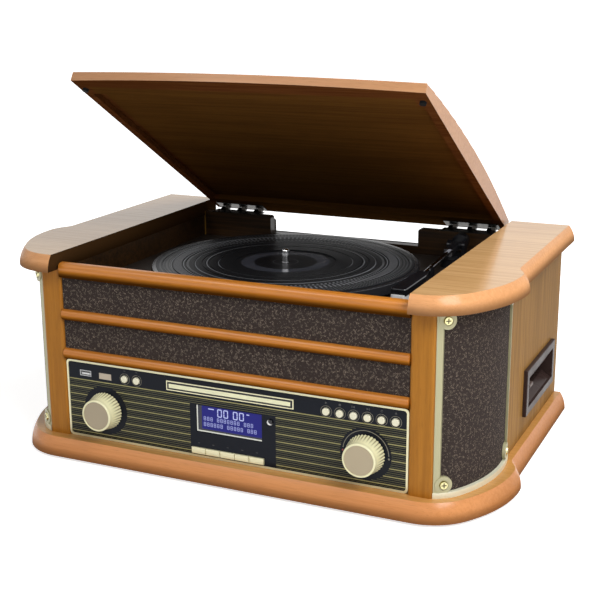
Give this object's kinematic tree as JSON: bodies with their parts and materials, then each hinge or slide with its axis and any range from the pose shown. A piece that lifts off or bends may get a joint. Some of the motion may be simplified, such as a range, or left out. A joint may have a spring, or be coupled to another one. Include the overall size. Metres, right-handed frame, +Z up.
{
  "type": "record player",
  "caption": "Wooden record player with an opened lid, turntable, disc tray, radio control panel, curved corner loudspeakers and a side cassette slot.",
  "frame": {"origin": "on the surface that the object stands on, below the middle of its length and of its depth with the lid open", "axes": "+X along the front to the right-hand side, +Y from the front to the back, +Z up"},
  "size_m": [0.524, 0.3476, 0.3857],
  "materials": {
    "plinth_wood": "satin lacquer, reddish orange brown",
    "cabinet_wood": "satin lacquer, honey brown with grain",
    "side_wood": "satin lacquer, brown with upright grain",
    "well_wood": "very dark brown, satin",
    "back_board": "dark painted fibreboard, matt",
    "foot_rubber": "matt black",
    "speaker_cloth": "dark brown-grey woven cloth with beige flecks",
    "champagne_frame": "pale champagne, satin",
    "golden_screw": "polished",
    "baffle_board": "raw fibreboard",
    "driver_black": "matt black cone and basket",
    "socket_black": "matt black",
    "deck_black": "fine matt black",
    "platter_black": "gloss black",
    "mat_rubber": "ribbed, dark grey",
    "polished_steel": "polished",
    "motor_steel": "plain",
    "pulley_brass": "turned",
    "belt_rubber": "smooth",
    "arm_black": "gloss black",
    "cartridge_black": "matt black",
    "guard_white": "white",
    "hinge_steel": "plated",
    "panel_black": "gloss black",
    "trim_cream": "pale gold, satin",
    "window_plastic": "clear windows, the larger one lit blue",
    "socket_steel": "bright",
    "cream_gold": "cream gold, satin",
    "tray_cream": "pale cream, satin",
    "mechanism_grey": "dark grey",
    "board_green": "lacquered circuit board",
    "cassette_brown": "gloss dark brown",
    "key_brown": "gloss lighter brown"
  },
  "bodies": {
    "cabinet": {"base_plinth": "plinth_wood", "rubber_feet": "foot_rubber", "wing_boards": "cabinet_wood", "side_panels": "side_wood", "front_posts": "cabinet_wood", "front_rails": "cabinet_wood", "speaker_cloths": "speaker_cloth", "grille_frames": "champagne_frame", "grille_screws": "golden_screw", "speaker_baffles": "baffle_board", "speaker_drivers": "driver_black", "well_liners": "well_wood", "back_panel": "back_board", "rear_sockets": "socket_black", "turntable_deck": "deck_black", "drive_motor": "motor_steel", "drive_belt": "belt_rubber", "tonearm_base": "arm_black", "arm_rest": "arm_black", "hinge_fixed_leaves": "hinge_steel", "control_panel": "panel_black", "panel_trim": "trim_cream", "panel_windows": "window_plastic", "usb_socket": "socket_steel", "cd_mechanism": "mechanism_grey", "circuit_boards": "board_green", "cassette_bezel": "cassette_brown", "cassette_deck": "cassette_brown"},
    "lid": {"lid": "cabinet_wood", "lid_bumpers": "foot_rubber", "hinge_lid_leaves": "hinge_steel"},
    "platter": {"platter": "platter_black", "platter_mat": "mat_rubber", "spindle": "polished_steel"},
    "motor_pulley": {"motor_pulley": "pulley_brass"},
    "arm_turret": {"tonearm_yoke": "arm_black"},
    "arm": {"tonearm": "arm_black", "headshell": "arm_black", "cartridge": "cartridge_black", "stylus_guard": "guard_white"},
    "cue_lever": {"cue_lever": "arm_black"},
    "speed_switch": {"speed_switch": "arm_black"},
    "left_knob": {"left_knob": "cream_gold"},
    "right_knob": {"right_knob": "cream_gold"},
    "cd_tray": {"cd_tray": "tray_cream"},
    "cassette_key": {"cassette_key": "key_brown"},
    "source_button": {"source_button": "cream_gold"},
    "band_button": {"band_button": "cream_gold"},
    "standby_button": {"standby_button": "polished_steel"},
    "play_button": {"play_button": "cream_gold"},
    "stop_button": {"stop_button": "cream_gold"},
    "previous_button": {"previous_button": "cream_gold"},
    "next_button": {"next_button": "cream_gold"},
    "repeat_button": {"repeat_button": "cream_gold"},
    "eject_button": {"eject_button": "cream_gold"},
    "menu_key": {"menu_key": "cream_gold"},
    "info_key": {"info_key": "cream_gold"},
    "scan_key": {"scan_key": "cream_gold"},
    "preset_key": {"preset_key": "cream_gold"},
    "select_key": {"select_key": "cream_gold"}
  },
  "joints": [
    {"name": "lid_hinge", "type": "hinge", "parent": "cabinet", "child": "lid", "pos_m": [0, 0.15874, 0.2011], "axis": [-1, 0, 0], "range_deg": [-30.9, 0]},
    {"name": "platter_spin", "type": "hinge", "parent": "cabinet", "child": "platter", "pos_m": [-0.0108, -0.00027, 0.18], "axis": [0, 0, -1], "continuous": true},
    {"name": "pulley_spin", "type": "hinge", "parent": "cabinet", "child": "motor_pulley", "pos_m": [-0.0878, 0.06373, 0.172], "axis": [0, 0, -1], "continuous": true},
    {"name": "tonearm_swing", "type": "hinge", "parent": "cabinet", "child": "arm_turret", "pos_m": [0.141, 0.10673, 0.18], "axis": [0, 0, -1], "range_deg": [0, 42]},
    {"name": "tonearm_lift", "type": "hinge", "parent": "arm_turret", "child": "arm", "pos_m": [0.141, 0.10673, 0.193], "axis": [-1, 0, 0], "range_deg": [0, 7]},
    {"name": "cue_lever_turn", "type": "hinge", "parent": "cabinet", "child": "cue_lever", "pos_m": [0.165, 0.09874, 0.175], "axis": [-1, 0, 0], "range_deg": [0, 60]},
    {"name": "speed_switch_slide", "type": "slide", "parent": "cabinet", "child": "speed_switch", "axis": [0, 1, 0], "range_m": [-0.006, 0.006]},
    {"name": "left_knob_turn", "type": "hinge", "parent": "cabinet", "child": "left_knob", "pos_m": [-0.1375, -0.16401, 0.0535], "axis": [0, 1, 0], "range_deg": [-150, 150]},
    {"name": "right_knob_turn", "type": "hinge", "parent": "cabinet", "child": "right_knob", "pos_m": [0.1405, -0.16401, 0.0535], "axis": [0, 1, 0], "continuous": true},
    {"name": "cd_tray_slide", "type": "slide", "parent": "cabinet", "child": "cd_tray", "axis": [0, -1, 0], "range_m": [0, 0.13]},
    {"name": "cassette_key_press", "type": "slide", "parent": "cabinet", "child": "cassette_key", "axis": [-1, 0, 0], "range_m": [0, 0.004], "stiffness_N_per_m": 200, "springref_m": -0.002},
    {"name": "source_button_press", "type": "slide", "parent": "cabinet", "child": "source_button", "axis": [0, 1, 0], "range_m": [0, 0.0015], "stiffness_N_per_m": 200, "springref_m": -0.001},
    {"name": "band_button_press", "type": "slide", "parent": "cabinet", "child": "band_button", "axis": [0, 1, 0], "range_m": [0, 0.0015], "stiffness_N_per_m": 200, "springref_m": -0.001},
    {"name": "standby_button_press", "type": "slide", "parent": "cabinet", "child": "standby_button", "axis": [0, 1, 0], "range_m": [0, 0.0015], "stiffness_N_per_m": 200, "springref_m": -0.001},
    {"name": "play_button_press", "type": "slide", "parent": "cabinet", "child": "play_button", "axis": [0, 1, 0], "range_m": [0, 0.0015], "stiffness_N_per_m": 200, "springref_m": -0.001},
    {"name": "stop_button_press", "type": "slide", "parent": "cabinet", "child": "stop_button", "axis": [0, 1, 0], "range_m": [0, 0.0015], "stiffness_N_per_m": 200, "springref_m": -0.001},
    {"name": "previous_button_press", "type": "slide", "parent": "cabinet", "child": "previous_button", "axis": [0, 1, 0], "range_m": [0, 0.0015], "stiffness_N_per_m": 200, "springref_m": -0.001},
    {"name": "next_button_press", "type": "slide", "parent": "cabinet", "child": "next_button", "axis": [0, 1, 0], "range_m": [0, 0.0015], "stiffness_N_per_m": 200, "springref_m": -0.001},
    {"name": "repeat_button_press", "type": "slide", "parent": "cabinet", "child": "repeat_button", "axis": [0, 1, 0], "range_m": [0, 0.0015], "stiffness_N_per_m": 200, "springref_m": -0.001},
    {"name": "eject_button_press", "type": "slide", "parent": "cabinet", "child": "eject_button", "axis": [0, 1, 0], "range_m": [0, 0.0015], "stiffness_N_per_m": 200, "springref_m": -0.001},
    {"name": "menu_key_press", "type": "slide", "parent": "cabinet", "child": "menu_key", "axis": [0, 1, 0], "range_m": [0, 0.0015], "stiffness_N_per_m": 200, "springref_m": -0.001},
    {"name": "info_key_press", "type": "slide", "parent": "cabinet", "child": "info_key", "axis": [0, 1, 0], "range_m": [0, 0.0015], "stiffness_N_per_m": 200, "springref_m": -0.001},
    {"name": "scan_key_press", "type": "slide", "parent": "cabinet", "child": "scan_key", "axis": [0, 1, 0], "range_m": [0, 0.0015], "stiffness_N_per_m": 200, "springref_m": -0.001},
    {"name": "preset_key_press", "type": "slide", "parent": "cabinet", "child": "preset_key", "axis": [0, 1, 0], "range_m": [0, 0.0015], "stiffness_N_per_m": 200, "springref_m": -0.001},
    {"name": "select_key_press", "type": "slide", "parent": "cabinet", "child": "select_key", "axis": [0, 1, 0], "range_m": [0, 0.0015], "stiffness_N_per_m": 200, "springref_m": -0.001}
  ],
  "couplings": [
    {"joint": "pulley_spin", "follows": "platter_spin", "ratio": 10.083},
    {"joint": "cue_lever_turn", "follows": "tonearm_lift", "ratio": 8.57}
  ]
}
